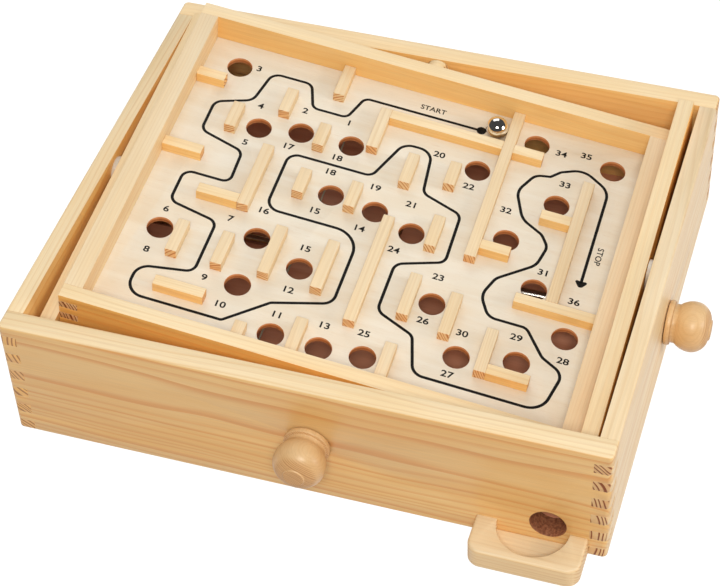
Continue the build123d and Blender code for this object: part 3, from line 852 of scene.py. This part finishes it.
def knob(node, body, direction, grain, seed):
    """A turned knob in the place of its CAD node, pointing in the given direction."""
    low, high = [Vector(corner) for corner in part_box(node)]
    middle = (low + high) / 2
    reach = Vector([abs(c) for c in direction]).dot(high - low)
    foot = middle - Vector(direction) * reach / 2
    turn = Vector((0, 0, 1)).rotation_difference(Vector(direction)).to_matrix().to_4x4()
    verts, faces = lathe(knob_profile(reach / MM))
    place = Matrix.Translation(foot) @ turn
    obj = new_object(node + "_turned", [place @ Vector(v) for v in verts], faces, smooth=True)
    timber = Matrix.Translation(middle)
    material = wood("beech_" + node, timber, grain, (24, -31), 1.1, BEECH, seed, contrast=0.3, gloss=0.3)
    obj.data.materials.append(material)
    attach(obj, body)
    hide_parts(node)


knob("front_knob", "front_control", (0, -1, 0), "Y", 50.0)
knob("right_knob", "right_control", (1, 0, 0), "X", 52.0)

# ------------------------------------------------------------- shafts, pins, washers and screws
STEEL_EASED = 0.15 * MM
NYLON_EASED = 0.2 * MM
HARDWARE = {
    "front_shaft": "front_control",
    "front_collar": "front_control",
    "right_shaft": "right_control",
    "right_collar": "right_control",
    "ring_pin_left": "casing",
    "ring_pin_right": "casing",
    "tray_pin_front": "ring",
    "tray_pin_back": "ring",
    "ring_string_screws": "ring",
    "tray_string_screws": "tray",
}
WASHERS = {
    "ring_washer_left": "casing",
    "ring_washer_right": "casing",
    "tray_washer_front": "ring",
    "tray_washer_back": "ring",
}
rod_steel = steel("steel_rod", (0.66, 0.65, 0.64), 0.2)
for node, body in HARDWARE.items():
    softened(node, STEEL_EASED, rod_steel, body)
white_nylon = nylon("white_nylon")
for node, body in WASHERS.items():
    softened(node, NYLON_EASED, white_nylon, body)

# ------------------------------------------------------------- strings and springs
STRING_RADIUS = 0.6 * MM
WIRE_RADIUS = 0.3 * MM
COIL_TURNS = 2.4
COIL_STEPS = 72  # points in each turn
SPRING_TURNS = 13
SPRING_STEPS = 24
STRINGS = {
    "ring_string_front": ("casing", "ring"),
    "ring_string_back": ("casing", "ring"),
    "tray_string_left": ("ring", "tray"),
    "tray_string_right": ("ring", "tray"),
}
COILS = {"tray_string_coil": ("front_control", 1), "ring_string_coil": ("right_control", 0)}
SPRINGS = {"tray_spring": "tray", "ring_spring": "ring"}

string_cord = cord_material("nylon_cord")
for node, (lower_body, upper_body) in STRINGS.items():
    first, last = node_ends(node)
    if first.z > last.z:
        first, last = last, first
    verts, faces = twisted(straight(first, last), STRING_RADIUS)
    obj = new_object(node + "_laid", verts, faces, smooth=True)
    obj.data.materials.append(string_cord)
    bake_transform(obj)
    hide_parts(node)

for node, (body, along) in COILS.items():
    low, high = [Vector(corner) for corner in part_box(node)]
    first = (low + high) / 2
    last = first.copy()
    first[along] = low[along] + STRING_RADIUS
    last[along] = high[along] - STRING_RADIUS
    radius = (high.z - low.z) / 2 - STRING_RADIUS
    verts, faces = twisted(helix(first, last, radius, COIL_TURNS, COIL_STEPS), STRING_RADIUS)
    obj = new_object(node + "_wound", verts, faces, smooth=True)
    obj.data.materials.append(string_cord)
    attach(obj, body)
    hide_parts(node)

for node, body in SPRINGS.items():
    first, last = node_ends(node)
    axis = (last - first).normalized()
    away = np.array([v.co for v in NODES[node].data.vertices]) - np.array(first)
    across = away - np.outer(away @ np.array(axis), np.array(axis))
    radius = float(np.linalg.norm(across, axis=1).max()) - WIRE_RADIUS
    inset = axis * 2 * WIRE_RADIUS
    wire = helix(first + inset, last - inset, radius, SPRING_TURNS, SPRING_STEPS)
    verts, faces = tube(wire, WIRE_RADIUS, 8)
    obj = new_object(node + "_wound", verts, faces, smooth=True)
    obj.data.materials.append(rod_steel)
    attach(obj, body)
    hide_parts(node)

# ------------------------------------------------------------- camera
CAMERA_PLACE = (0.2869, -0.8413, 0.9538)
CAMERA_AZIMUTH = 17.61
CAMERA_ELEVATION = 45.6
CAMERA_ROLL = -1.54

camera_data = bpy.data.cameras.new("camera")
camera_data.lens = 106.4
camera_data.sensor_width = 36.0
camera_data.shift_x = -0.0696
camera_data.shift_y = -0.0572
camera_data.dof.use_dof = False
camera = linked("camera", camera_data)
camera.matrix_world = (
    Matrix.Translation(CAMERA_PLACE)
    @ Matrix.Rotation(math.radians(CAMERA_AZIMUTH), 4, "Z")
    @ Matrix.Rotation(math.radians(90 - CAMERA_ELEVATION), 4, "X")
    @ Matrix.Rotation(math.radians(CAMERA_ROLL), 4, "Z")
)
bpy.context.scene.camera = camera

# ------------------------------------------------------------- floor
FLOOR_HALF = 3.0
FLOOR_Z = -0.2 * MM

floor_corners = ((-1, -1), (1, -1), (1, 1), (-1, 1))
floor_verts = [(x * FLOOR_HALF, y * FLOOR_HALF, FLOOR_Z) for x, y in floor_corners]
floor = new_object("studio_floor", floor_verts, [(0, 1, 2, 3)])
paper = Material("studio_white")
paper.shader.inputs["Base Color"].default_value = (0.1, 0.1, 0.1, 1)
paper.shader.inputs["Roughness"].default_value = 0.9
paper.shader.inputs["Emission Color"].default_value = (1, 1, 1, 1)
paper.shader.inputs["Emission Strength"].default_value = 1.0
floor.data.materials.append(paper.material)
floor.visible_diffuse = False

# ------------------------------------------------------------- light
LIGHT_AIM = Vector((0, 0, 0.06))


def softbox(name, position, size, power, colour=(1, 1, 1)):
    """A rectangular lamp that shines at the game."""
    light = bpy.data.lights.new(name, "AREA")
    light.shape = "RECTANGLE"
    light.size, light.size_y = size
    light.energy = power
    light.color = colour
    obj = linked(name, light)
    obj.location = position
    obj.rotation_euler = (LIGHT_AIM - Vector(position)).to_track_quat("-Z", "Y").to_euler()


softbox("key", (0.42, -1.3, 1.5), (0.6, 0.5), 19, (1.0, 0.93, 0.82))
softbox("right_fill", (1.6, 0.0, 0.55), (0.7, 0.6), 8)
softbox("back_light", (-0.5, 1.3, 1.4), (1.4, 1.0), 7)

# The room is white overhead, warmer near the horizon and warmest in front. Reflections show a dark
# room instead, and the camera sees a white backdrop.
WORLD_LEVEL = 0.50
OVERHEAD_LIGHT = (1, 1, 1)
SIDE_LIGHT = (0.92, 0.84, 0.76)
FRONT_LIGHT = (0.82, 0.62, 0.42)
REFLECTED_ROOM = (0.12, 0.12, 0.12)
BACKDROP = (3, 3, 3)

world = bpy.data.worlds.new("world")
world.use_nodes = True
room = Nodes(world.node_tree)
direction = room.split(room.node("ShaderNodeTexCoord").outputs["Generated"])
height = room.range(direction[2], 0.0, 0.75, smooth=False)
frontness = room.range(direction[1], 0.1, -0.8, smooth=False)
low_light = room.mix(frontness, SIDE_LIGHT, FRONT_LIGHT)
ray = room.node("ShaderNodeLightPath").outputs
lit = room.mix(ray["Is Glossy Ray"], room.mix(height, low_light, OVERHEAD_LIGHT), REFLECTED_ROOM)
background = room.tree.nodes["Background"]
room.feed(background.inputs["Color"], room.mix(ray["Is Camera Ray"], lit, BACKDROP))
room.feed(background.inputs["Strength"], WORLD_LEVEL)
bpy.context.scene.world = world
bpy.context.scene.view_settings.view_transform = "Standard"
